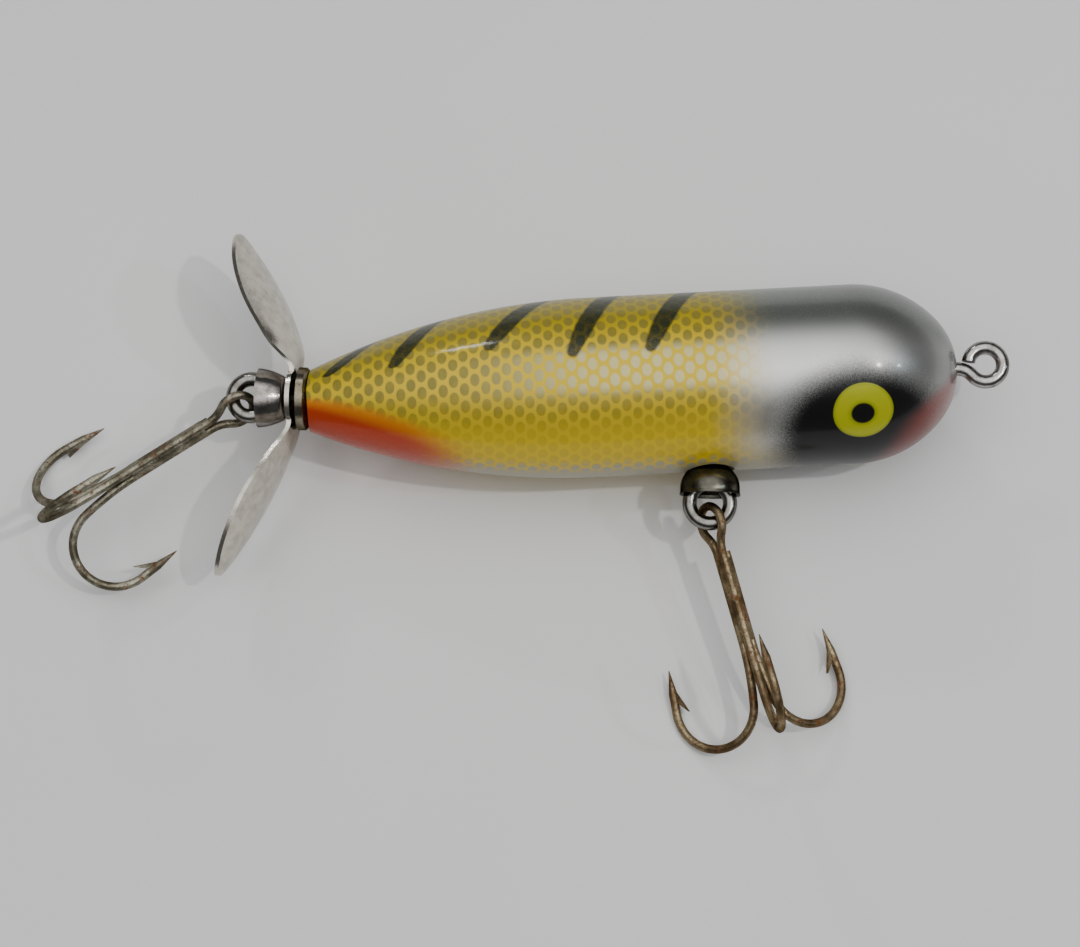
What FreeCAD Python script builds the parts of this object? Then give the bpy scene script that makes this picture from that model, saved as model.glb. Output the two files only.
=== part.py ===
"""Tail-propeller topwater lure, lying on its left side.

Every piece is drawn in the lure's own frame and then laid down with one placement.
The lure's frame: +X runs along the body from the centre of its tail face to its nose, +Y is the
back, -Y is the belly, and +Z is the lure's right side. The lying lure keeps +X, its right side
is up, and its belly is rolled a little towards the surface. Millimetres.
"""
import FreeCAD, Part
import math
import os
import Sketcher
from FreeCAD import Matrix, Placement, Rotation, Vector

doc = FreeCAD.newDocument("propeller_lure")

# every free dimension, in millimetres or degrees
DIMENSIONS = [
    # hollow plastic body, glued from two halves
    ("body_length", 63.85),
    ("body_radius", 8.85),
    ("body_wall", 2.0),
    ("tail_face_radius", 2.95),
    ("taper_length", 28.0),
    ("taper_arc_radius", 69.4),
    ("nose_start", 53.5),
    ("nose_shoulder_arc", 11.3),
    ("nose_join_station", 61.846),
    ("nose_join_radius", 5.168),
    ("nose_tip_arc", 7.666),
    ("cavity_start", 13.0),
    ("cavity_start_radius", 5.16),
    ("cavity_end", 61.0),
    ("cavity_nose_arc", 7.4),
    ("boss_radius", 2.9),
    ("tail_boss_length", 15.0),
    ("nose_boss_length", 14.0),
    ("belly_boss_length", 12.0),
    ("seat_radius", 2.35),
    ("seat_depth", 0.74),
    ("nose_seat_radius", 1.5),
    ("nose_seat_depth", 0.6),
    # screw eyes
    ("eye_wire_radius", 0.7),
    ("belly_ring_radius", 1.98),
    ("tail_ring_radius", 1.85),
    ("eye_neck_radius", 2.0),
    ("eye_cut_angle", 138.0),
    ("nose_cut_angle", 162.0),
    ("nose_eye_lift", 5.0),
    ("nose_wire_radius", 0.67),
    ("nose_ring_radius", 1.7),
    ("nose_eye_reach", 2.9),
    ("screw_depth", 9.5),
    # belly hanger: station of its axis on the belly, and its lean towards the tail
    ("hanger_station", 39.04),
    ("hanger_lean", 4.5),
    ("hanger_eye_reach", 3.98),
    # pressed hanger cup, dome on the belly and mouth outwards
    ("sheet_thickness", 0.38),
    ("cup_hole_radius", 0.75),
    ("cup_crown_radius", 0.9),
    ("cup_dome_height", 2.6),
    ("cup_dome_arc", 2.6),
    ("cup_rim_height", 2.85),
    ("cup_height", 3.15),
    ("cup_mouth_radius", 2.93),
    ("cup_lip_radius", 3.0),
    # tail hardware, measured rearwards along the tail screw
    ("tail_axis_lean", 5.0),
    ("tail_axis_pitch", 5.5),
    ("tail_axis_offset", 0.3),
    ("tail_seat_depth", 0.25),
    ("tail_seat_radius", 3.4),
    ("ferrule_start", -0.2),
    ("ferrule_floor_radius", 2.7),
    ("ferrule_corner", 0.35),
    ("ferrule_height", 1.06),
    ("ferrule_radius", 3.1),
    ("thrust_cup_start", 2.2),
    ("thrust_cup_hole_radius", 0.92),
    ("thrust_cup_flat_radius", 1.85),
    ("thrust_cup_corner_height", 0.33),
    ("thrust_cup_corner_radius", 2.25),
    ("thrust_cup_corner_arc", 0.5),
    ("thrust_cup_flank_arc", 6.5),
    ("thrust_cup_height", 2.7),
    ("tail_eye_reach", 5.65),
    # propeller
    ("hub_start", 1.2),
    ("hub_radius", 3.15),
    ("hub_bore_radius", 0.78),
    ("hub_tilt", 4.0),
    ("blade_thickness", 0.45),
    ("blade_sweep", 26.0),
    ("blade_sweep_start", 3.6),
    ("blade_root", 2.2),
    ("blade_twist_length", 1.7),
    ("blade_chord", 8.0),
    ("upper_blade_reach", 16.45),
    ("upper_blade_pitch", -19.0),
    ("lower_blade_reach", 17.6),
    ("lower_blade_pitch", 4.0),
    ("blade_cupping", 0.09),
    ("blade_root_cupping", 0.01),
    # treble hooks, measured from the centre of the treble's own eye along its shank
    ("hook_wire_radius", 0.425),
    ("hook_wire_offset", 0.51),
    ("hook_eye_radius", 1.7),
    ("hook_eye_blend", 3.0),
    ("hook_single_start", 3.0),
    ("hook_flare_start", 11.8),
    ("hook_flare_arc", 30.0),
    ("hook_flare_turn", 12.0),
    ("hook_bend_arc", 4.19),
    ("hook_point_lean", 6.0),
    ("hook_straight_length", 1.99),
    ("hook_cone_length", 2.3),
    ("hook_tip_radius", 0.05),
    ("barb_base_start", 1.5),
    ("barb_base_end", 2.9),
    ("barb_tip_distance", 4.3),
    ("barb_rise", 1.4),
    ("barb_thickness", 0.42),
    ("braze_radius", 0.8),
    ("braze_start", 3.7),
    ("braze_length", 8.3),
    # attitude: roll of the lying body; for each treble, the place of its eye round the loop that
    # carries it, then its own lean, swing and roll
    ("lying_roll", 7.0),
    ("belly_treble_place", 5.4),
    ("belly_treble_lean", 16.9),
    ("belly_treble_swing", 1.0),
    ("belly_treble_roll", 328.5),
    ("belly_single_splay", 2.9),
    ("belly_near_splay", -1.4),
    ("belly_far_splay", 0.4),
    ("tail_treble_place", 40.0),
    ("tail_treble_lean", 34.0),
    ("tail_treble_swing", 2.45),
    ("tail_treble_roll", 215.6),
    ("tail_single_splay", 5.9),
    ("tail_near_splay", 3.3),
    ("tail_far_splay", -11.5),
]

sheet = doc.addObject("Spreadsheet::Sheet", "dims")
for row, (alias, value) in enumerate(DIMENSIONS, start=1):
    sheet.set(f"A{row}", alias)
    sheet.set(f"B{row}", str(value))
    sheet.setAlias(f"B{row}", alias)
doc.recompute()


def dim(alias):
    return float(getattr(sheet, alias))


X_AXIS = Vector(1, 0, 0)
Y_AXIS = Vector(0, 1, 0)
Z_AXIS = Vector(0, 0, 1)


def in_plane(angle):
    """Unit vector in the lure's plane of symmetry, degrees from +X towards +Y."""
    turn = math.radians(angle)
    return Vector(math.cos(turn), math.sin(turn), 0)


def placed(origin, x_dir, y_dir):
    """Placement that carries the local X and Y axes onto two perpendicular directions."""
    z_dir = x_dir.cross(y_dir)
    return Placement(Matrix(
        x_dir.x, y_dir.x, z_dir.x, origin.x,
        x_dir.y, y_dir.y, z_dir.y, origin.y,
        x_dir.z, y_dir.z, z_dir.z, origin.z,
        0, 0, 0, 1))


# ---------------------------------------------------------------- sketch helpers

def origin_plane(body, role):
    return next(item for item in body.Origin.OriginFeatures if item.Role == role)


def new_sketch(body, name, role):
    sketch = body.newObject("Sketcher::SketchObject", name)
    sketch.AttachmentSupport = [(origin_plane(body, role), "")]
    sketch.MapMode = "FlatFace"
    return sketch


def bind(sketch, constraint, name, expression):
    """Add a dimensional constraint and drive it with an expression."""
    index = sketch.addConstraint(constraint)
    sketch.renameConstraint(index, name)
    sketch.setExpression(f"Constraints.{name}", expression)


def evaluated(expression):
    """Value of an expression of sheet aliases, such as 'cup_height - sheet_thickness'."""
    total, sign = 0.0, 1.0
    for word in expression.split():
        if word in "+-":
            sign = 1.0 if word == "+" else -1.0
        else:
            total += sign * dim(word)
    return total


def driven(expression):
    return " ".join(w if w in "+-" else f"dims.{w}" for w in expression.split())


def closed_profile(sketch, corners, radii):
    """Closed loop of lines and arcs whose corners and radii are driven by the sheet.

    Each corner is a pair of expressions of sheet aliases, with None for zero. radii maps a
    segment's number to (radius expression, side), where side is +1 if the arc bulges to the left
    of its chord and -1 if it bulges to the right.
    """
    points = [Vector(*(evaluated(e) if e else 0.0 for e in corner), 0) for corner in corners]
    count = len(points)
    ends = []
    for number in range(count):
        start, finish = points[number], points[(number + 1) % count]
        if number in radii:
            radius_name, side = radii[number]
            chord = finish - start
            radius = evaluated(radius_name)
            across = Vector(-chord.y, chord.x, 0).normalize() * side
            drop = math.sqrt(radius ** 2 - (chord.Length / 2) ** 2)
            centre = (start + finish) * 0.5 - across * drop
            angles = [math.atan2(p.y - centre.y, p.x - centre.x) for p in (start, finish)]
            forwards = side < 0
            low, high = angles if forwards else reversed(angles)
            if high < low:
                high += 2 * math.pi
            arc = Part.ArcOfCircle(Part.Circle(centre, Z_AXIS, radius), low, high)
            index = sketch.addGeometry(arc, False)
            ends.append((index, 1, 2) if forwards else (index, 2, 1))
        else:
            index = sketch.addGeometry(Part.LineSegment(start, finish), False)
            ends.append((index, 1, 2))
    for number, (index, _, last) in enumerate(ends):
        following, next_first, _ = ends[(number + 1) % count]
        sketch.addConstraint(Sketcher.Constraint("Coincident", index, last, following, next_first))
    for number, (along, across) in enumerate(corners):
        index, first, _ = ends[number]
        for letter, expression, axis in (("x", along, -2), ("y", across, -1)):
            if expression is None:
                sketch.addConstraint(Sketcher.Constraint("PointOnObject", index, first, axis))
            else:
                kind = "DistanceX" if letter == "x" else "DistanceY"
                value = evaluated(expression)
                bind(sketch, Sketcher.Constraint(kind, -1, 1, index, first, value),
                     f"corner{number}{letter}", driven(expression))
    for number, (radius_name, _) in radii.items():
        index = ends[number][0]
        bind(sketch, Sketcher.Constraint("Radius", index, evaluated(radius_name)),
             f"radius{number}", driven(radius_name))


def turned_body(label, corners, radii):
    """A piece turned about its X axis from one closed profile."""
    body = doc.addObject("PartDesign::Body", label)
    sketch = new_sketch(body, f"{label}_profile", "XY_Plane")
    closed_profile(sketch, corners, radii)
    doc.recompute()
    turned = body.newObject("PartDesign::Revolution", f"{label}_turned")
    turned.Profile = sketch
    turned.ReferenceAxis = (sketch, ["H_Axis"])
    turned.Angle = 360.0
    body.Label = label
    return body


# ---------------------------------------------------------------- placements

class Hanger:
    """One screw eye's frame: where its screw enters, its outward axis and its loop's centre."""

    def __init__(self, surface, outward, across, reach):
        self.surface = surface
        self.outward = outward
        self.across = across
        self.ring_centre = surface + outward * dim(reach)
        self.reach = reach

    def along_axis(self, distance):
        """Placement on the axis at a distance outside the surface, local +X outwards."""
        return placed(self.surface + self.outward * distance, self.outward, self.across)


def towards(direction, origin):
    """Placement that turns a primitive's local Z to a direction and moves it to an origin."""
    return Placement(origin, Rotation(Z_AXIS, direction))


nose_tip = Vector(dim("body_length"), 0, 0)
nose_out = in_plane(dim("nose_eye_lift"))
nose = Hanger(nose_tip, nose_out, Z_AXIS.cross(nose_out), "nose_eye_reach")

belly_out = in_plane(-90.0 - dim("hanger_lean"))
belly_skin = Vector(dim("hanger_station"), -dim("body_radius"), 0)
belly = Hanger(belly_skin - belly_out * dim("seat_depth"), belly_out,
               Z_AXIS.cross(belly_out), "hanger_eye_reach")

tail_pitch = math.radians(dim("tail_axis_pitch"))
tail_out = in_plane(180.0 - dim("tail_axis_lean")) * math.cos(tail_pitch)
tail_out = tail_out - Z_AXIS * math.sin(tail_pitch)
tail = Hanger(Vector(0, dim("tail_axis_offset"), 0), tail_out,
              Z_AXIS.cross(tail_out).normalize(), "tail_eye_reach")


# ---------------------------------------------------------------- body shells

def cylinder(name, radius, height, placement):
    """Part::Cylinder with its radius and height driven by expressions, along its local Z."""
    item = doc.addObject("Part::Cylinder", name)
    item.setExpression("Radius", radius)
    item.setExpression("Height", height)
    item.Placement = placement
    return item


def combined(kind, name, base, tool):
    """Two-part boolean feature."""
    item = doc.addObject(kind, name)
    item.Base = base
    item.Tool = tool
    return item


def fused(name, shapes):
    item = doc.addObject("Part::MultiFuse", name)
    item.Shapes = shapes
    return item


skin = turned_body("skin_solid", [
    (None, None),
    (None, "tail_face_radius"),
    ("taper_length", "body_radius"),
    ("nose_start", "body_radius"),
    ("nose_join_station", "nose_join_radius"),
    ("body_length", None),
], {
    1: ("taper_arc_radius", +1),
    3: ("nose_shoulder_arc", +1),
    4: ("nose_tip_arc", +1),
})
cavity = turned_body("cavity_solid", [
    ("cavity_start", None),
    ("cavity_start", "cavity_start_radius"),
    ("taper_length", "body_radius - body_wall"),
    ("nose_start", "body_radius - body_wall"),
    ("cavity_end", None),
], {
    1: ("taper_arc_radius - body_wall", +1),
    3: ("cavity_nose_arc", +1),
})
hollow = combined("Part::Cut", "hollow_skin", skin, cavity)
bosses = fused("bosses", [
    cylinder("nose_boss", "dims.boss_radius", "dims.nose_boss_length",
             towards(-X_AXIS, nose_tip)),
    cylinder("tail_boss", "dims.boss_radius", "dims.tail_boss_length",
             towards(X_AXIS, Vector(0, 0, 0))),
    cylinder("belly_boss", "dims.boss_radius", "dims.belly_boss_length",
             towards(-belly_out, belly_skin)),
])
inner_bosses = combined("Part::Common", "inner_bosses", bosses, skin)
moulding = combined("Part::Fuse", "moulding", hollow, inner_bosses)


def screw_hole(name, hanger, wire):
    """Blind hole for one screw, starting outside the skin."""
    return cylinder(name, f"dims.{wire}", "dims.screw_depth + dims.body_wall",
                    towards(-hanger.outward, hanger.surface + hanger.outward * dim("body_wall")))


drilled = combined("Part::Cut", "drilled_moulding", moulding, fused("drillings", [
    screw_hole("nose_hole", nose, "nose_wire_radius"),
    screw_hole("belly_hole", belly, "eye_wire_radius"),
    screw_hole("tail_hole", tail, "eye_wire_radius"),
    cylinder("belly_seat", "dims.seat_radius", "dims.body_wall + dims.seat_depth",
             towards(belly_out, belly.surface)),
    cylinder("nose_seat", "dims.nose_seat_radius", "dims.nose_seat_depth + dims.body_wall",
             towards(X_AXIS, nose_tip - X_AXIS * dim("nose_seat_depth"))),
    cylinder("tail_seat", "dims.tail_seat_radius", "dims.body_wall",
             towards(tail.outward, tail.surface - tail.outward * dim("tail_seat_depth"))),
]))


def body_shell(label, side):
    """One moulded half of the body, on the right (+1) or left (-1) of the glued seam."""
    box = doc.addObject("Part::Box", f"{label}_side")
    box.setExpression("Length", "dims.body_length * 2")
    box.setExpression("Width", "dims.body_radius * 4")
    box.setExpression("Height", "dims.body_radius * 2")
    box.setExpression("Placement.Base.x", "dims.body_length * -0.5")
    box.setExpression("Placement.Base.y", "dims.body_radius * -2")
    if side < 0:
        box.setExpression("Placement.Base.z", "dims.body_radius * -2")
    return combined("Part::Common", label, drilled, box)


pieces = []


def keep(item, placement=Placement()):
    """Record a finished piece and where it sits in the lure's frame."""
    item.Label = item.Name
    pieces.append((item, placement))


keep(body_shell("body_shell_right", +1))
keep(body_shell("body_shell_left", -1))


# ---------------------------------------------------------------- screw eyes

def screw_eye(label, hanger, wire, ring, cut_angle):
    """Bent-wire screw eye: local X runs from the screw's end to the loop, loop in XY.

    The neck is an arc that leaves the shank's axis and meets the loop's circle tangentially, so
    the loop's centre is on the shank's axis.
    """
    ring_radius = dim(ring)
    neck = dim("eye_neck_radius")
    neck_run = math.sqrt(ring_radius ** 2 + 2 * ring_radius * neck)
    shank = dim("screw_depth") + dim(hanger.reach) - neck_run
    centre = Vector(shank + neck_run, 0, 0)
    neck_centre = Vector(shank, -neck, 0)
    join = neck_centre - centre
    join_angle = math.atan2(join.y, join.x)

    body = doc.addObject("PartDesign::Body", label)
    path = new_sketch(body, f"{label}_path", "XY_Plane")
    path.addGeometry(Part.LineSegment(Vector(0, 0, 0), Vector(shank, 0, 0)), False)
    path.addGeometry(Part.ArcOfCircle(Part.Circle(neck_centre, Z_AXIS, neck),
                                      join_angle + math.pi, math.pi / 2), False)
    path.addGeometry(Part.ArcOfCircle(Part.Circle(centre, Z_AXIS, ring_radius),
                                      join_angle, math.radians(dim(cut_angle))), False)
    path.addConstraint(Sketcher.Constraint("Coincident", 0, 1, -1, 1))
    path.addConstraint(Sketcher.Constraint("Horizontal", 0))
    path.addConstraint(Sketcher.Constraint("Tangent", 0, 2, 1, 2))
    path.addConstraint(Sketcher.Constraint("Tangent", 1, 1, 2, 1))
    path.addConstraint(Sketcher.Constraint("PointOnObject", 2, 3, -1))
    bind(path, Sketcher.Constraint("DistanceX", -1, 1, 2, 3, centre.x),
         "reach", f"dims.screw_depth + dims.{hanger.reach}")
    bind(path, Sketcher.Constraint("Radius", 1, neck), "neck", "dims.eye_neck_radius")
    bind(path, Sketcher.Constraint("Radius", 2, ring_radius), "ring", f"dims.{ring}")
    section = new_sketch(body, f"{label}_section", "YZ_Plane")
    section.addGeometry(Part.Circle(Vector(0, 0, 0), Z_AXIS, dim(wire)), False)
    section.addConstraint(Sketcher.Constraint("Coincident", 0, 3, -1, 1))
    bind(section, Sketcher.Constraint("Radius", 0, dim(wire)), "wire", f"dims.{wire}")
    doc.recompute()
    bent = body.newObject("PartDesign::AdditivePipe", f"{label}_bent")
    bent.Profile = section
    bent.Spine = path
    keep(body, hanger.along_axis(-dim("screw_depth")))


screw_eye("nose_screw_eye", nose, "nose_wire_radius", "nose_ring_radius", "nose_cut_angle")
screw_eye("belly_screw_eye", belly, "eye_wire_radius", "belly_ring_radius", "eye_cut_angle")
screw_eye("tail_screw_eye", tail, "eye_wire_radius", "tail_ring_radius", "eye_cut_angle")


# ---------------------------------------------------------------- pressed cups

keep(turned_body("belly_cup", [
    (None, "cup_hole_radius"),
    (None, "cup_crown_radius"),
    ("cup_dome_height", "cup_mouth_radius"),
    ("cup_rim_height", "cup_mouth_radius"),
    ("cup_height", "cup_lip_radius"),
    ("cup_height", "cup_lip_radius - sheet_thickness"),
    ("cup_rim_height", "cup_mouth_radius - sheet_thickness"),
    ("cup_dome_height", "cup_mouth_radius - sheet_thickness"),
    ("sheet_thickness", "cup_crown_radius"),
    ("sheet_thickness", "cup_hole_radius"),
], {
    1: ("cup_dome_arc", +1),
    7: ("cup_dome_arc - sheet_thickness", -1),
}), belly.along_axis(0))

keep(turned_body("tail_ferrule", [
    (None, "eye_wire_radius"),
    (None, "ferrule_floor_radius"),
    ("ferrule_corner", "ferrule_radius"),
    ("ferrule_height", "ferrule_radius"),
    ("ferrule_height", "ferrule_radius - sheet_thickness"),
    ("sheet_thickness", "ferrule_radius - sheet_thickness"),
    ("sheet_thickness", "eye_wire_radius"),
], {}), tail.along_axis(dim("ferrule_start")))

keep(turned_body("thrust_cup", [
    (None, "thrust_cup_hole_radius"),
    (None, "thrust_cup_flat_radius"),
    ("thrust_cup_corner_height", "thrust_cup_corner_radius"),
    ("thrust_cup_height", "cup_mouth_radius"),
    ("thrust_cup_height", "cup_mouth_radius - sheet_thickness"),
    ("thrust_cup_corner_height + sheet_thickness", "thrust_cup_corner_radius - sheet_thickness"),
    ("sheet_thickness", "thrust_cup_flat_radius - sheet_thickness"),
    ("sheet_thickness", "thrust_cup_hole_radius"),
], {
    1: ("thrust_cup_corner_arc", +1),
    2: ("thrust_cup_flank_arc", +1),
    4: ("thrust_cup_flank_arc", -1),
}), tail.along_axis(dim("thrust_cup_start")))


# ---------------------------------------------------------------- propeller

# share of the way from the blade's root to its tip, and share of its full chord there
BLADE_WIDTHS = [
    (0.00, 0.50),
    (0.06, 0.52),
    (0.19, 0.68),
    (0.31, 0.87),
    (0.45, 0.99),
    (0.62, 0.96),
    (0.78, 0.76),
    (0.90, 0.48),
    (0.97, 0.24),
    (1.00, 0.08),
]


def blade_section(radius, chord, pitch, cupping):
    """Closed cupped strip across a blade: local X rearwards, Y along the span, Z chordwise."""
    sweep = math.tan(math.radians(dim("blade_sweep")))
    half_sheet = dim("blade_thickness") / 2
    middle_x = half_sheet + max(0.0, radius - dim("blade_sweep_start")) * sweep
    turn = math.radians(pitch)
    outline = []
    for side in (-1, 1):
        row = []
        for share in (-1.0, 0.0, 1.0):
            depth = side * half_sheet + cupping * chord * (share ** 2 - 0.5)
            width = share * chord / 2
            row.append(Vector(middle_x + depth * math.cos(turn) + width * math.sin(turn), radius,
                              width * math.cos(turn) - depth * math.sin(turn)))
        outline.append(row)
    front, rear = outline
    edges = [
        Part.Arc(*front).toShape(),
        Part.LineSegment(front[-1], rear[-1]).toShape(),
        Part.Arc(*reversed(rear)).toShape(),
        Part.LineSegment(rear[0], front[0]).toShape(),
    ]
    return Part.Wire(edges)


def blade(name, reach, pitch, turn):
    """One leaf-shaped blade, swept rearwards, its neck twisting from the hub's plane.

    A positive pitch puts the edge at local +Z to the rear.
    """
    root = dim("blade_root")
    sections = []
    for share, width in BLADE_WIDTHS:
        radius = root + (dim(reach) - root) * share
        twist = min(1.0, max(0.0, (radius - dim("hub_radius")) / dim("blade_twist_length")))
        sections.append(blade_section(radius, width * dim("blade_chord"), dim(pitch) * twist,
                                      max(dim("blade_root_cupping"),
                                          dim("blade_cupping") * twist)))
    item = doc.addObject("Part::Feature", name)
    item.Shape = Part.makeLoft(sections, True, False)
    item.Placement = Placement(Vector(0, 0, 0), Rotation(X_AXIS, turn))
    return item


hub_disc = turned_body("hub_disc", [
    (None, "hub_bore_radius"),
    (None, "hub_radius"),
    ("blade_thickness", "hub_radius"),
    ("blade_thickness", "hub_bore_radius"),
], {})
propeller = fused("propeller", [
    hub_disc,
    blade("upper_blade", "upper_blade_reach", "upper_blade_pitch", 180.0),
    blade("lower_blade", "lower_blade_reach", "lower_blade_pitch", 0.0),
])
keep(propeller, tail.along_axis(dim("hub_start"))
     * Placement(Vector(0, 0, 0), Rotation(Y_AXIS, dim("hub_tilt"))))


# ---------------------------------------------------------------- treble hooks

# azimuths of the three wires round the shank's axis, a third of a turn apart
SINGLE_SEAT, NEAR_SEAT, FAR_SEAT = 0.0, 120.0, 240.0


def across(angle):
    """Unit vector across a treble's shank at an azimuth from its local Y towards its Z."""
    turn = math.radians(angle)
    return Vector(0, math.cos(turn), math.sin(turn))


class HookArm:
    """Centreline of one hook of a treble, from its shank to its point.

    seat is the azimuth of the wire in the bundle of three; heading is where the hook opens.
    """

    def __init__(self, seat, heading):
        self.base = across(seat) * dim("hook_wire_offset")
        self.out = across(heading)
        flare, bend = dim("hook_flare_arc"), dim("hook_bend_arc")
        turn = math.radians(dim("hook_flare_turn"))
        end = math.pi + math.radians(dim("hook_point_lean"))
        start = dim("hook_flare_start")
        self.shank_end = (start, 0.0)
        flare_centre = (start, flare)
        self.flare_middle = self.on_arc(flare_centre, flare, turn / 2)
        self.flare_end = self.on_arc(flare_centre, flare, turn)
        bend_centre = (self.flare_end[0] - bend * math.sin(turn),
                       self.flare_end[1] + bend * math.cos(turn))
        self.bend_middle = self.on_arc(bend_centre, bend, (turn + end) / 2)
        self.bend_end = self.on_arc(bend_centre, bend, end)
        self.heading = Vector(math.cos(end), 0, 0) + self.out * math.sin(end)
        self.inward = self.out * math.cos(end) - Vector(math.sin(end), 0, 0)
        self.cone_start = self.at(self.bend_end) + self.heading * dim("hook_straight_length")
        self.tip = self.cone_start + self.heading * dim("hook_cone_length")

    @staticmethod
    def on_arc(centre, radius, turn):
        return (centre[0] + radius * math.sin(turn), centre[1] - radius * math.cos(turn))

    def at(self, station_and_rise):
        station, rise = station_and_rise
        return Vector(station, 0, 0) + self.base + self.out * rise

    def edges(self, start):
        """Edges of the centreline from a station on the shank to the start of the point."""
        return [
            Part.LineSegment(self.at((start, 0.0)), self.at(self.shank_end)).toShape(),
            Part.Arc(self.at(self.shank_end), self.at(self.flare_middle),
                     self.at(self.flare_end)).toShape(),
            Part.Arc(self.at(self.flare_end), self.at(self.bend_middle),
                     self.at(self.bend_end)).toShape(),
            Part.LineSegment(self.at(self.bend_end), self.cone_start).toShape(),
        ]

    def point(self):
        return Part.makeCone(dim("hook_wire_radius"), dim("hook_tip_radius"),
                             dim("hook_cone_length"), self.cone_start, self.heading)

    def barb(self):
        """Sliver raised from the inner side of the point, aimed back towards the bend."""
        side = self.heading.cross(self.inward)
        corners = [
            self.tip - self.heading * dim("barb_base_start"),
            self.tip - self.heading * dim("barb_base_end"),
            self.tip - self.heading * dim("barb_tip_distance") + self.inward * dim("barb_rise"),
        ]
        low = [corner - side * (dim("barb_thickness") / 2) for corner in corners]
        face = Part.Face(Part.makePolygon(low + low[:1]))
        return face.extrude(side * dim("barb_thickness"))


def eye_edges(near_seat, far_seat, merge):
    """Edges of the treble's eye, from the near strand of its doubled wire to the far one."""
    middle = across((near_seat + far_seat) / 2)
    half_angle = math.radians((near_seat - far_seat) / 2)
    offset, ring, blend = dim("hook_wire_offset"), dim("hook_eye_radius"), dim("hook_eye_blend")
    lift = middle * offset * math.cos(half_angle)
    strand = abs(offset * math.sin(half_angle))
    chord = across(near_seat) * offset - lift
    chord.normalize()
    toward = math.atan2(strand + blend, merge)
    half_blend = (toward + math.pi / 2) / 2

    def at(station, lateral):
        return Vector(station, 0, 0) + lift + chord * lateral

    def blend_point(angle, side):
        return at(merge - blend * math.cos(angle),
                  side * (strand + blend - blend * math.sin(angle)))

    def ring_point(side):
        return at(ring * math.cos(toward), side * ring * math.sin(toward))

    near = Part.Arc(at(merge, strand), blend_point(half_blend, 1), ring_point(1)).toShape()
    loop = Part.Arc(ring_point(1), at(-ring, 0.0), ring_point(-1)).toShape()
    far = Part.Arc(ring_point(-1), blend_point(half_blend, -1), at(merge, -strand)).toShape()
    return [near, loop, far]


def swept_wire(edges, start, direction):
    """Round wire swept along a centreline that starts at a point in a direction."""
    circle = Part.Circle(start, direction, dim("hook_wire_radius"))
    return Part.Wire(edges).makePipeShell([Part.Wire(circle.toShape())], True, False)


def reversed_edges(edges):
    """The same edges in the opposite order of travel."""
    result = []
    for edge in reversed(edges):
        first, last = edge.FirstParameter, edge.LastParameter
        points = [edge.valueAt(last), edge.valueAt((first + last) / 2), edge.valueAt(first)]
        if isinstance(edge.Curve, Part.Line):
            result.append(Part.LineSegment(points[0], points[2]).toShape())
        else:
            result.append(Part.Arc(*points).toShape())
    return result


def hook_node(label, wire, arms, placement):
    """One wire of a treble with the points and barbs of the hooks at its ends."""
    shape = wire.fuse([arm.point() for arm in arms] + [arm.barb() for arm in arms])
    item = doc.addObject("Part::Feature", label)
    item.Shape = shape.removeSplitter()
    keep(item, placement)


def treble(prefix, placement, splays):
    """Two bent wires and the brazing between them; the single wire's seat is azimuth 0."""
    single_splay, near_splay, far_splay = splays
    single = HookArm(SINGLE_SEAT, SINGLE_SEAT + single_splay)
    near = HookArm(NEAR_SEAT, NEAR_SEAT + near_splay)
    far = HookArm(FAR_SEAT, FAR_SEAT + far_splay)
    strand = dim("hook_wire_offset") * math.sin(math.radians((FAR_SEAT - NEAR_SEAT) / 2))
    ring, blend = dim("hook_eye_radius"), dim("hook_eye_blend")
    merge = math.sqrt((ring + blend) ** 2 - (strand + blend) ** 2)
    centreline = (reversed_edges(near.edges(merge)) + eye_edges(NEAR_SEAT, FAR_SEAT, merge)
                  + far.edges(merge))
    hook_node(f"{prefix}_double_wire",
              swept_wire(centreline, near.cone_start, -near.heading), [near, far], placement)
    start = dim("hook_single_start")
    hook_node(f"{prefix}_single_wire",
              swept_wire(single.edges(start), single.at((start, 0.0)), X_AXIS),
              [single], placement)
    core = cylinder(f"{prefix}_braze_core", "dims.braze_radius", "dims.braze_length",
                    towards(X_AXIS, Vector(dim("braze_start"), 0, 0)))
    grooves = fused(f"{prefix}_braze_grooves", [
        cylinder(f"{prefix}_groove_{number}", "dims.hook_wire_radius",
                 "dims.braze_length + dims.braze_start",
                 towards(X_AXIS, Vector(dim("braze_start") / 2, 0, 0) + arm.base))
        for number, arm in enumerate((single, near, far), start=1)
    ])
    keep(combined("Part::Cut", f"{prefix}_braze", core, grooves), placement)


def treble_pivot(ring, place):
    """Point on the wire of a loop, seen from its centre, at an angle from the outward axis."""
    return Rotation(Z_AXIS, dim(place)).multVec(Vector(dim(ring), 0, 0))


def treble_placement(hanger, ring, place, lean, swing, roll):
    """Frame of a treble whose eye is centred on a loop's wire, local X down its shank.

    The eye is to one side of the shank's axis, in the plane of the two strands that form it.
    """
    pivot = treble_pivot(ring, place)
    attitude = (Rotation(Z_AXIS, dim(lean)) * Rotation(Y_AXIS, -dim(swing))
                * Rotation(X_AXIS, dim(roll)))
    eye_centring = attitude.multVec(Vector(0, dim("hook_wire_offset") / 2, 0))
    return hanger.along_axis(dim(hanger.reach)) * Placement(pivot + eye_centring, attitude)


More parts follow.
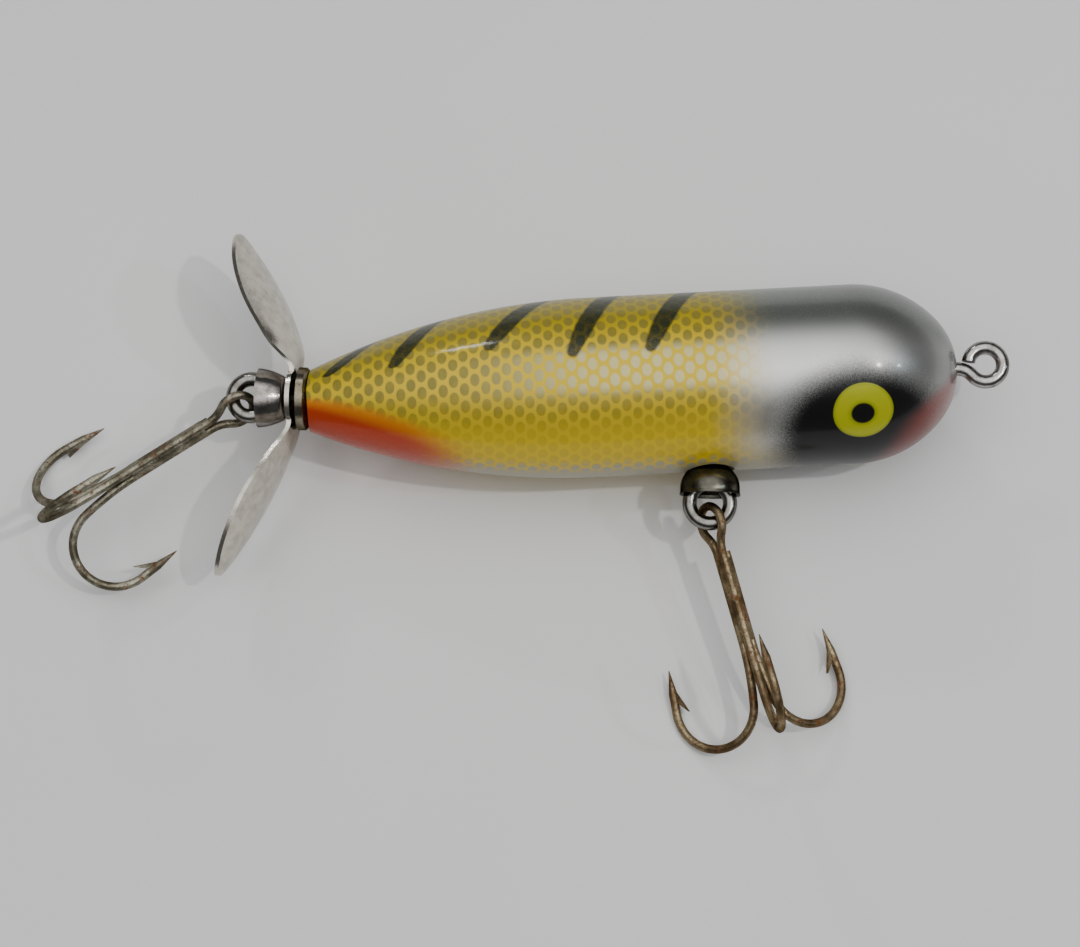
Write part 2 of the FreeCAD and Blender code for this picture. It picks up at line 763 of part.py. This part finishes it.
belly_treble = treble_placement(belly, "belly_ring_radius", "belly_treble_place",
                                "belly_treble_lean", "belly_treble_swing", "belly_treble_roll")
tail_treble = treble_placement(tail, "tail_ring_radius", "tail_treble_place",
                               "tail_treble_lean", "tail_treble_swing", "tail_treble_roll")
treble("belly_treble", belly_treble,
       (dim("belly_single_splay"), dim("belly_near_splay"), dim("belly_far_splay")))
treble("tail_treble", tail_treble,
       (dim("tail_single_splay"), dim("tail_near_splay"), dim("tail_far_splay")))


# ---------------------------------------------------------------- lying pose and export

doc.recompute()
lying = Placement(Vector(0, 0, dim("body_radius")), Rotation(X_AXIS, dim("lying_roll")))
for item, placement in pieces:
    item.Placement = lying * placement
doc.recompute()

extent = FreeCAD.BoundBox()
for item, _ in pieces:
    extent.add(item.Shape.optimalBoundingBox(False, False))
to_origin = Placement(Vector(-extent.Center.x, -extent.Center.y, 0), Rotation())
for item, _ in pieces:
    item.Placement = to_origin * item.Placement
doc.recompute()

for item in doc.Objects:
    if "Invalid" in item.State or "Error" in item.State:
        raise RuntimeError(f"{item.Label}: {item.State}")

os.makedirs("parts", exist_ok=True)
for item, _ in pieces:
    if item.Shape.isNull() or not item.Shape.isValid():
        raise RuntimeError(f"{item.Label}: no valid shape")
    item.Shape.exportStep(f"parts/{item.Label}.step")
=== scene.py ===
"""Looks of the tail-propeller topwater lure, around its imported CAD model.

The lure's own coordinates, used by the paint: s runs along the body from the tail face to the
nose, and the latitude is the angle round the body from the middle of a side (0) to the ridge of
the back (+90) or the keel of the belly (-90). Both sides are painted alike. Lengths inside the
shaders are millimetres; objects are in metres.
"""
import math

import bpy
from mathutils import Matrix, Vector

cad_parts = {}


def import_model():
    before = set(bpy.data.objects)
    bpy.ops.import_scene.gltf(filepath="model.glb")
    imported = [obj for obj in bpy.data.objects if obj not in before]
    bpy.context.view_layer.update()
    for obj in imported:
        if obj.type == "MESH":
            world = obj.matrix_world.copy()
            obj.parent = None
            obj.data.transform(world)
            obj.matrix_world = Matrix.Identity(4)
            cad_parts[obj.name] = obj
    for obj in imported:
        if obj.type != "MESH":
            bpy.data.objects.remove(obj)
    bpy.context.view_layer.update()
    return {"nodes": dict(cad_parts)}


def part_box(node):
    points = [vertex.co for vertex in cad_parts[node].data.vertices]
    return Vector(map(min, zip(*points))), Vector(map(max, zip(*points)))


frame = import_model()

MM = 0.001
NODES = frame["nodes"]

# The body's axis, from the boxes of its two halves
RIGHT_LOW, RIGHT_HIGH = (Vector(corner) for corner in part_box("body_shell_right"))
LEFT_LOW = Vector(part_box("body_shell_left")[0])
BODY_LENGTH = (RIGHT_HIGH.x - RIGHT_LOW.x) / MM
BODY_RADIUS = (RIGHT_HIGH.z - LEFT_LOW.z) / 2 / MM
TAIL_CENTRE = Vector((RIGHT_LOW.x, (RIGHT_HIGH.y + LEFT_LOW.y) / 2, BODY_RADIUS * MM))
LYING_ROLL = math.radians(7.0)


# ---------------------------------------------------------------- shader arithmetic

class Field:
    """A value that varies over a surface, combined with ordinary arithmetic."""

    def __init__(self, tree, socket):
        self.tree = tree
        self.socket = socket

    def math(self, operation, *others):
        node = self.tree.nodes.new("ShaderNodeMath")
        node.operation = operation
        for index, value in enumerate((self, *others)):
            connect(self.tree, value, node.inputs[index])
        return Field(self.tree, node.outputs[0])

    def __add__(self, other):
        return self.math("ADD", other)

    def __radd__(self, other):
        return self.math("ADD", other)

    def __sub__(self, other):
        return self.math("SUBTRACT", other)

    def __rsub__(self, other):
        return self.math("MULTIPLY", -1.0).math("ADD", other)

    def __mul__(self, other):
        return self.math("MULTIPLY", other)

    def __truediv__(self, other):
        return self.math("DIVIDE", other)

    def absolute(self):
        return self.math("ABSOLUTE")

    def fraction(self):
        return self.math("FRACT")

    def smallest(self, other):
        return self.math("MINIMUM", other)

    def largest(self, other):
        return self.math("MAXIMUM", other)

    def ramp(self, low, high):
        """0 at low, 1 at high, smooth between; low may be above high."""
        node = self.tree.nodes.new("ShaderNodeMapRange")
        node.interpolation_type = "SMOOTHSTEP"
        connect(self.tree, self, node.inputs["Value"])
        node.inputs["From Min"].default_value = low
        node.inputs["From Max"].default_value = high
        return Field(self.tree, node.outputs["Result"])

    def band(self, low, high, blur):
        """1 between low and high, fading to 0 over blur outside each."""
        return self.ramp(low - blur, low) * self.ramp(high + blur, high)


def connect(tree, value, socket):
    """Feed a socket with a Field, a node's output or a constant."""
    if isinstance(value, Field):
        tree.links.new(value.socket, socket)
    elif isinstance(value, bpy.types.NodeSocket):
        tree.links.new(value, socket)
    elif isinstance(value, tuple) and len(value) == 3 and socket.type == "RGBA":
        socket.default_value = (*value, 1.0)
    else:
        socket.default_value = value


def length(first, second):
    return (first * first + second * second).math("SQRT")


def mix(tree, factor, low, high):
    """Colour that goes from low to high with the factor."""
    node = tree.nodes.new("ShaderNodeMix")
    node.data_type = "RGBA"
    connect(tree, factor, node.inputs["Factor"])
    colour_inputs = [socket for socket in node.inputs if socket.type == "RGBA"]
    connect(tree, low, colour_inputs[0])
    connect(tree, high, colour_inputs[1])
    return next(socket for socket in node.outputs if socket.type == "RGBA")


def noise(tree, coordinate, scale, detail=2.0, rough=0.5):
    node = tree.nodes.new("ShaderNodeTexNoise")
    connect(tree, coordinate, node.inputs["Vector"])
    node.inputs["Scale"].default_value = scale
    node.inputs["Detail"].default_value = detail
    node.inputs["Roughness"].default_value = rough
    return Field(tree, node.outputs["Fac"])


def millimetres(tree, origin=(0.0, 0.0, 0.0), rotation=(0.0, 0.0, 0.0), stretch=(1.0, 1.0, 1.0)):
    """Position in millimetres from an origin given in metres, turned and then stretched."""
    position = tree.nodes.new("ShaderNodeTexCoord").outputs["Object"]
    shift = tree.nodes.new("ShaderNodeVectorMath")
    shift.operation = "SUBTRACT"
    tree.links.new(position, shift.inputs[0])
    shift.inputs[1].default_value = origin
    turn = tree.nodes.new("ShaderNodeMapping")
    tree.links.new(shift.outputs[0], turn.inputs["Vector"])
    turn.inputs["Rotation"].default_value = rotation
    turn.inputs["Scale"].default_value = (1 / MM, 1 / MM, 1 / MM)
    scale = tree.nodes.new("ShaderNodeVectorMath")
    scale.operation = "MULTIPLY"
    tree.links.new(turn.outputs[0], scale.inputs[0])
    scale.inputs[1].default_value = stretch
    return scale.outputs[0]


def split(tree, vector):
    node = tree.nodes.new("ShaderNodeSeparateXYZ")
    tree.links.new(vector, node.inputs[0])
    return [Field(tree, output) for output in node.outputs]


def bump(tree, height, strength, distance):
    node = tree.nodes.new("ShaderNodeBump")
    node.inputs["Strength"].default_value = strength
    node.inputs["Distance"].default_value = distance
    connect(tree, height, node.inputs["Height"])
    return node.outputs["Normal"]


def new_material(name):
    """An empty node material: its tree and its main shader."""
    material = bpy.data.materials.new(name)
    material.use_nodes = True
    tree = material.node_tree
    return material, tree, tree.nodes["Principled BSDF"]


def grey(level):
    return (level, level, level)


# ---------------------------------------------------------------- painted body

SILVER = (0.52, 0.52, 0.50)
BACK_GREY = (0.19, 0.205, 0.185)
NOSE_GREY = (0.17, 0.175, 0.17)
# the belly's white paint, darkened with painted shade where the body turns down to the floor
SHADE_DARKENED_BELLY = (0.36, 0.33, 0.22)
NET_YELLOW = (0.68, 0.48, 0.007)
NET_BACK = (0.36, 0.28, 0.008)
# the silver base seen through the dots, lightened as a painted highlight
DOT_SILVER_HIGHLIGHT = (0.62, 0.56, 0.26)
DOT_OLIVE = (0.25, 0.205, 0.030)
FLANK_YELLOW = (0.60, 0.43, 0.016)
ORANGE = (0.62, 0.19, 0.008)
RED = (0.44, 0.042, 0.008)
BAR_GREEN = (0.006, 0.015, 0.011)
BLACK = (0.006, 0.006, 0.006)
BLUSH_RED = (0.30, 0.040, 0.028)
EYE_YELLOW = (0.42, 0.44, 0.008)
EYE_RIM = (0.30, 0.33, 0.012)
# partly a rust stain, partly a painted reflection of the nose screw
COPPER_STAIN_AND_REFLECTION = (0.30, 0.13, 0.06)

# Fine and coarse unevenness of the paint: detail per millimetre
SPECKLE_SCALE = 9.0
MOTTLE_SCALE = 0.8
RAGGED_REACH = 2.4

# Where one colour fades into the next: latitudes in degrees, stations in millimetres
SILVER_TO_BACK = (6.0, 34.0)
SIDE_TO_SHADED_BELLY = (-52.0, -72.0)
NOSE_SHADING = (49.0, 59.0)
YELLOW_TO_BACK = (10.0, 50.0)
PLAIN_FLANK = (-34.0, -18.0)
DOT_HIGHLIGHT_BAND = (-8.0, 10.0)
DOT_HIGHLIGHT_START = (14.0, 30.0)
YELLOWED_DOTS = (-22.0, -40.0)
SHADED_BELLY_DOTS = (-60.0, -74.0)
NETTING_FRONT = (46.0, 38.5)
NETTING_KEEL = (-84.0, -66.0)
BARE_KEEL = (-78.0, -60.0)
BLUSH_FRONT = (17.0, 9.0)
BLUSH_RISE = 2.9
BLUSH_OFFSET = 2.0
FLANK_BLUR = 12.0
DOT_BLUR = 10.0

DOT_COLUMNS = 1.03
DOT_PITCH = 1.66
DOT_HALF_LENGTH = 0.46
DOT_HALF_HEIGHT = 0.63
ROWS_BELOW = 40.0
EYE_STATION = 53.6
EYE_LATITUDE = -34.0
EYE_RADIUS = 2.93
PUPIL_SHIFT = (0.05, 0.15)
PUPIL_FLATNESS = 0.95
PATCH_STATION = 53.6
PATCH_LATITUDE = -46.0
PATCH_HALF_LENGTH = 8.3
PATCH_HALF_HEIGHT = 40.0
PATCH_FRONT_STRETCH = 1.1
PATCH_KEEL_STRETCH = 0.45
RECESS_DEPTH = (0.9, 0.5)
RECESS_RADIUS = (1.9, 1.5)
# the bars' lower tips and upper ends: station (mm), latitude (degrees)
BARS = (
    ((2.2, 32.0), (7.5, 84.0)),
    ((8.7, 22.0), (14.1, 88.0)),
    ((18.0, 24.0), (24.8, 88.0)),
    ((26.0, 14.0), (31.2, 88.0)),
    ((33.5, 15.0), (38.8, 88.0)),
)
BAR_WIDTH = 1.75
DEGREE = math.radians(1.0) * BODY_RADIUS


class BodySurface:
    """The body's own coordinates and the unevenness of its paint, in one material."""

    def __init__(self, tree):
        place = millimetres(tree, TAIL_CENTRE, (-LYING_ROLL, 0.0, 0.0))
        self.tree = tree
        self.station, up, side = split(tree, place)
        self.radius = length(up, side)
        self.angle = up.math("ARCTAN2", side.absolute())
        self.latitude = self.angle * math.degrees(1.0)
        self.arc = self.radius * self.angle
        self.speckle = noise(tree, place, SPECKLE_SCALE, 3.0, 0.7)
        self.mottle = noise(tree, place, MOTTLE_SCALE, 3.0, 0.6)
        self.ragged = (self.speckle - 0.5) * RAGGED_REACH

    def mix(self, factor, low, high):
        return mix(self.tree, factor, low, high)


def dots(station, arc):
    """Hexagonal lattice of oval dots: 1 on a dot, 0 on the net between them."""
    nearest = None
    for offset in (0.0, 0.5):
        along = ((station / (2 * DOT_COLUMNS) + offset).fraction() - 0.5) * (2 * DOT_COLUMNS)
        across = ((arc / DOT_PITCH + offset + ROWS_BELOW).fraction() - 0.5) * DOT_PITCH
        spread = length(along / DOT_HALF_LENGTH, across / DOT_HALF_HEIGHT)
        nearest = spread if nearest is None else nearest.smallest(spread)
    return nearest.ramp(1.12, 0.84)


def stroke(station, arc, start, end):
    """A brushed bar that tapers at its lower tip."""
    run, rise = end[0] - start[0], end[1] - start[1]
    size = run * run + rise * rise
    share = ((station - start[0]) * run + (arc - start[1]) * rise) / size
    share = share.largest(0.0).smallest(1.0)
    away = length(station - start[0] - share * run, arc - start[1] - share * rise)
    half_width = share.ramp(-0.40, 0.30) * (BAR_WIDTH / 2)
    return (away - half_width).ramp(0.22, -0.12)


def base_coat(body):
    """Metallic base: silver flanks, grey-green back, a white belly darkened with painted shade
    towards the keel, and a greyer nose.
    """
    colour = body.mix((body.latitude + body.ragged * 4.0).ramp(*SILVER_TO_BACK), SILVER, BACK_GREY)
    colour = body.mix(body.latitude.ramp(*SIDE_TO_SHADED_BELLY), colour, SHADE_DARKENED_BELLY)
    colour = body.mix(body.station.ramp(*NOSE_SHADING) * 0.55, colour, NOSE_GREY)
    return body.mix(body.speckle.ramp(0.35, 0.75) * 0.14, colour, grey(0.8))


def netting(body, colour):
    """Yellow netting over the base, fading out behind the head, with a painted highlight on the
    dots along the side: colour, cover and dots.
    """
    yellow = body.mix(body.latitude.ramp(*YELLOW_TO_BACK), NET_YELLOW, NET_BACK)
    flank = body.latitude.band(*PLAIN_FLANK, FLANK_BLUR)
    yellow = body.mix(flank, yellow, FLANK_YELLOW)
    # painted highlight: the dots show bright silver only in the band of latitudes that reflects
    # the lamps, and olive elsewhere
    painted_dot_highlight = body.latitude.band(*DOT_HIGHLIGHT_BAND, DOT_BLUR) * body.station.ramp(*DOT_HIGHLIGHT_START)
    dot_colour = body.mix(painted_dot_highlight, DOT_OLIVE, DOT_SILVER_HIGHLIGHT)
    dot_colour = body.mix(body.latitude.ramp(*YELLOWED_DOTS) * 0.75, dot_colour, yellow)
    # dots near the keel take the belly's white, with its painted shade
    dot_colour = body.mix(body.latitude.ramp(*SHADED_BELLY_DOTS), dot_colour, SHADE_DARKENED_BELLY)
    dot_mask = dots(body.station, body.arc) * (0.60 + body.mottle * 0.7 - flank * 0.22)
    net = body.mix(dot_mask, yellow, dot_colour)
    front = body.station + (body.mottle - 0.5) * 1.5 + body.ragged * 0.5
    cover = front.ramp(*NETTING_FRONT) * body.latitude.ramp(*NETTING_KEEL)
    return body.mix(cover, colour, net), cover, dot_mask


def tail_blush(body, colour):
    """Orange, then red, over the belly side at the tail."""
    edge = body.latitude + body.station * BLUSH_RISE + BLUSH_OFFSET + body.ragged * 1.5
    blush = body.station.ramp(*BLUSH_FRONT)
    colour = body.mix(edge.ramp(6.0, -10.0) * blush, colour, ORANGE)
    return body.mix(edge.ramp(-6.0, -24.0) * blush, colour, RED)


def back_bars(body, colour):
    """Dark bars across the back: colour and cover."""
    bars = None
    for lower, upper in BARS:
        mark = stroke(body.station, body.angle * BODY_RADIUS + body.ragged * 0.08,
                      (lower[0], lower[1] * DEGREE), (upper[0], upper[1] * DEGREE))
        bars = mark if bars is None else bars.largest(mark)
    cover = bars * (0.90 + body.ragged * 0.25).smallest(1.0)
    return body.mix(cover, colour, BAR_GREEN), bars


def head_patch(body, colour):
    """Airbrushed black round the eye and red on the chin: colour and distance from the patch."""
    ahead = (body.station - PATCH_STATION) / PATCH_HALF_LENGTH
    ahead = ahead.largest(ahead * PATCH_FRONT_STRETCH)
    above = (body.latitude - PATCH_LATITUDE) / PATCH_HALF_HEIGHT
    above = above.largest(above * PATCH_KEEL_STRETCH)
    spread = length(ahead, above) + body.ragged * 0.05
    chin = (ahead - above * 0.9).ramp(0.42, 0.90)
    colour = body.mix((spread + body.ragged * 0.12).ramp(1.30, 0.74), colour, BLACK)
    return body.mix(chin * 0.5, colour, BLUSH_RED), spread


def painted_eye(body, colour):
    """Yellow eye with a thin rim and a black pupil: colour and distance from its centre."""
    along = body.station - EYE_STATION
    across = (body.latitude - EYE_LATITUDE) * DEGREE
    eye = length(along, across)
    colour = body.mix(eye.ramp(EYE_RADIUS + 0.06, EYE_RADIUS - 0.06), colour, EYE_RIM)
    colour = body.mix(eye.ramp(EYE_RADIUS - 0.05, EYE_RADIUS - 0.35), colour, EYE_YELLOW)
    pupil = length(along + PUPIL_SHIFT[0], (across + PUPIL_SHIFT[1]) / PUPIL_FLATNESS)
    colour = body.mix(pupil.ramp(1.65, 1.1), colour, EYE_RIM)
    return body.mix(pupil.ramp(1.24, 1.02), colour, BLACK), eye


def nose_recess(body, colour):
    """Coppery colour in the plastic round the nose screw: partly a rust stain, partly a painted
    reflection of the screw's shank.
    """
    depth = body.station.ramp(*(BODY_LENGTH - depth for depth in RECESS_DEPTH))
    return body.mix(depth * body.radius.ramp(*RECESS_RADIUS), colour, COPPER_STAIN_AND_REFLECTION)


def body_paint(name):
    material, tree, shader = new_material(name)
    body = BodySurface(tree)
    colour, cover, dot_mask = netting(body, base_coat(body))
    colour, bars = back_bars(body, tail_blush(body, colour))
    colour, spread = head_patch(body, colour)
    colour, eye = painted_eye(body, colour)
    tree.links.new(nose_recess(body, colour), shader.inputs["Base Color"])

    painted = cover.largest(spread.ramp(1.3, 0.8)).largest(bars)
    metal = (1.0 - painted * 0.80) * body.latitude.ramp(*BARE_KEEL) * 0.9
    tree.links.new(metal.socket, shader.inputs["Metallic"])
    shader.inputs["Roughness"].default_value = 0.38
    shader.inputs["Coat Weight"].default_value = 0.35
    shader.inputs["Specular IOR Level"].default_value = 0.15
    shader.inputs["Coat Roughness"].default_value = 0.12
    relief = dot_mask * cover * 0.5 + eye.ramp(EYE_RADIUS + 0.15, EYE_RADIUS - 0.15)
    relief = relief + body.speckle * 0.25
    tree.links.new(bump(tree, relief, 0.35, 0.00008), shader.inputs["Normal"])
    return material


# ---------------------------------------------------------------- metals

EDGE_TINT = 0.22
RUST = (0.15, 0.055, 0.018)
BLACKENED = (0.022, 0.016, 0.012)
BARE_STEEL = (0.42, 0.39, 0.32)


def worn_metal(name, bright, dull, stain, rough, stain_amount, grain=(1.0, 1.0, 1.0),
               edge_tint=EDGE_TINT):
    """Plated or bare metal with brushing along one axis, tarnish and stains."""
    material, tree, shader = new_material(name)
    place = millimetres(tree)
    brushed = noise(tree, millimetres(tree, stretch=grain), 6.0, 4.0, 0.7)
    tarnish = noise(tree, place, 0.9, 4.0, 0.65)
    pits = noise(tree, place, 5.0, 3.0, 0.6)
    colour = mix(tree, tarnish.ramp(0.35, 0.7), bright, dull)
    colour = mix(tree, pits.ramp(0.62 - stain_amount, 0.8 - stain_amount), colour, stain)
    tree.links.new(colour, shader.inputs["Base Color"])
    shader.inputs["Metallic"].default_value = 1.0
    shader.inputs["Specular Tint"].default_value = (*grey(edge_tint), 1.0)
    roughness = tarnish * 0.12 + brushed * 0.08 + pits.ramp(0.55, 0.8) * 0.20 + (rough - 0.08)
    tree.links.new(roughness.socket, shader.inputs["Roughness"])
    tree.links.new(bump(tree, brushed + pits * 0.6, 0.25, 0.00004), shader.inputs["Normal"])
    return material


def hook_metal(name, dark, light):
    """Bronzed steel wire between two tones, patchy with rust and bare spots."""
    material, tree, shader = new_material(name)
    place = millimetres(tree)
    patches = noise(tree, place, 0.35, 4.0, 0.6)
    rust = noise(tree, place, 1.1, 5.0, 0.7)
    grains = noise(tree, place, 4.5, 4.0, 0.7)
    colour = mix(tree, patches.ramp(0.40, 0.62), dark, light)
    colour = mix(tree, rust.ramp(0.54, 0.66), colour, RUST)
    colour = mix(tree, grains.ramp(0.54, 0.70), colour, BLACKENED)
    colour = mix(tree, grains.ramp(0.42, 0.32) * patches.ramp(0.5, 0.6), colour, BARE_STEEL)
    tree.links.new(colour, shader.inputs["Base Color"])
    shader.inputs["Specular Tint"].default_value = (*grey(EDGE_TINT), 1.0)
    metal = 1.0 - rust.ramp(0.50, 0.62) * 0.7
    tree.links.new(metal.socket, shader.inputs["Metallic"])
    roughness = grains * 0.35 + rust.ramp(0.45, 0.65) * 0.25 + 0.18
    tree.links.new(roughness.socket, shader.inputs["Roughness"])
    tree.links.new(bump(tree, grains + rust * 1.5, 0.5, 0.00008), shader.inputs["Normal"])
    return material


def repaint(material, *names):
    for name in names:
        for holder in NODES[name].material_slots:
            holder.material = material


repaint(body_paint("painted_body"), "body_shell_right", "body_shell_left")
# painted shade and dark reflection: the plating's tones are set far darker than the tail cup's,
# for the shade under the body
repaint(worn_metal("shade_darkened_belly_cup", bright=(0.13, 0.125, 0.10), dull=(0.08, 0.075, 0.06),
                   stain=(0.08, 0.06, 0.04), rough=0.13, stain_amount=0.0,
                   grain=(5.0, 0.25, 1.5)), "belly_cup")
repaint(worn_metal("plated_tail_cup", bright=(0.40, 0.38, 0.37), dull=(0.20, 0.18, 0.16),
                   stain=(0.07, 0.05, 0.03), rough=0.12, stain_amount=0.04), "thrust_cup")
# painted shade: dark brown tones for the ring, which lies in shadow between the propeller and the
# tail
repaint(worn_metal("shade_darkened_ferrule", bright=(0.26, 0.23, 0.17), dull=(0.14, 0.12, 0.08),
                   stain=(0.05, 0.035, 0.02), rough=0.20, stain_amount=0.04), "tail_ferrule")
repaint(worn_metal("plated_wire", bright=(0.46, 0.45, 0.44), dull=(0.24, 0.22, 0.20),
                   stain=(0.08, 0.055, 0.04), rough=0.13, stain_amount=0.02), "nose_screw_eye")
# painted shade: the nose eye's plating with darker tones, for the belly and tail eyes that lie in
# shade
repaint(worn_metal("shade_darkened_wire", bright=(0.28, 0.27, 0.25), dull=(0.14, 0.13, 0.11),
                   stain=(0.06, 0.04, 0.03), rough=0.14, stain_amount=0.03),
        "belly_screw_eye", "tail_screw_eye")
repaint(worn_metal("propeller_steel", bright=(0.66, 0.62, 0.54), dull=(0.49, 0.45, 0.39),
                   stain=(0.22, 0.18, 0.14), rough=0.16, stain_amount=-0.02,
                   grain=(0.15, 1.0, 1.0), edge_tint=0.9), "propeller")
repaint(hook_metal("bronzed_hook", dark=(0.14, 0.095, 0.050), light=(0.31, 0.24, 0.14)),
        "belly_treble_double_wire", "belly_treble_single_wire", "belly_treble_braze")
repaint(hook_metal("greyed_hook", dark=(0.15, 0.135, 0.095), light=(0.36, 0.34, 0.26)),
        "tail_treble_double_wire", "tail_treble_single_wire", "tail_treble_braze")


# ---------------------------------------------------------------- floor, light and camera

FLOOR_SIZE = 3.0
FLOOR_DARK = grey(0.74)
FLOOR_LIGHT = grey(0.82)
WALL_LEVEL = 0.10
CEILING_LEVEL = 1.90

# What the camera looks at, from the tail's centre, and the width it sees there
AIM = TAIL_CENTRE + Vector((22.33, -8.48, 0.0)) * MM
CAMERA_AZIMUTH = math.radians(-3.05)
CAMERA_ELEVATION = math.radians(75.0)
CAMERA_DISTANCE = 320.0 * MM
SENSOR = 36.0
VIEW_WIDTH = 105.46875 * MM

# name: place from the aim (m), width and height (m), power (W), colour
LAMPS = {
    "warm_lamp": ((0.30, -0.06, 0.60), (0.022, 0.022), 0.9, (1.0, 0.97, 0.92)),
    "cool_lamp": ((0.62, -0.06, 0.60), (0.018, 0.018), 0.5, (0.70, 0.84, 1.0)),
    "far_window": ((-0.30, 0.85, 0.55), (0.14, 0.05), 1.0, (1.0, 1.0, 1.0)),
}


def floor():
    """A pale sheet under the lure."""
    bpy.ops.mesh.primitive_grid_add(x_subdivisions=8, y_subdivisions=8, size=FLOOR_SIZE)
    sheet = bpy.context.object
    sheet.name = "pale_floor"
    material, tree, shader = new_material("pale_floor")
    tone = noise(tree, millimetres(tree), 0.02, 3.0, 0.5)
    tree.links.new(mix(tree, tone, FLOOR_DARK, FLOOR_LIGHT), shader.inputs["Base Color"])
    shader.inputs["Roughness"].default_value = 0.9
    sheet.data.materials.append(material)


def area_light(name, offset, size, power, colour):
    """A rectangular lamp that points at the aim."""
    data = bpy.data.lights.new(name, "AREA")
    data.shape = "RECTANGLE"
    data.size, data.size_y = size
    data.energy = power
    data.color = colour
    lamp = bpy.data.objects.new(name, data)
    lamp.location = AIM + Vector(offset)
    lamp.rotation_euler = (-Vector(offset)).to_track_quat("-Z", "Y").to_euler()
    bpy.context.scene.collection.objects.link(lamp)


def world():
    """Room light: a soft bright ceiling a little behind the lure, and dim walls."""
    sky = bpy.data.worlds.new("room")
    bpy.context.scene.world = sky
    sky.use_nodes = True
    tree = sky.node_tree
    direction = tree.nodes.new("ShaderNodeTexCoord").outputs["Generated"]
    across, depth, height = split(tree, direction)
    ceiling = across * -0.04 + depth * 0.08 + height
    colour = mix(tree, ceiling.ramp(0.60, 0.99), grey(WALL_LEVEL), grey(CEILING_LEVEL))
    tree.links.new(colour, tree.nodes["Background"].inputs["Color"])
    tree.nodes["Background"].inputs["Strength"].default_value = 1.0


def camera():
    """The camera looks down at the lying lure, a little from its belly's side."""
    data = bpy.data.cameras.new("camera")
    data.sensor_width = SENSOR
    data.lens = SENSOR * CAMERA_DISTANCE / VIEW_WIDTH
    data.clip_start = 0.01
    viewer = bpy.data.objects.new("camera", data)
    level = math.cos(CAMERA_ELEVATION)
    outwards = Vector((math.sin(CAMERA_AZIMUTH) * level, -math.cos(CAMERA_AZIMUTH) * level,
                       math.sin(CAMERA_ELEVATION)))
    viewer.location = AIM + outwards * CAMERA_DISTANCE
    viewer.rotation_euler = (-outwards).to_track_quat("-Z", "Y").to_euler()
    bpy.context.scene.collection.objects.link(viewer)
    bpy.context.scene.camera = viewer


floor()
world()
for lamp_name, lamp_values in LAMPS.items():
    area_light(lamp_name, *lamp_values)
camera()
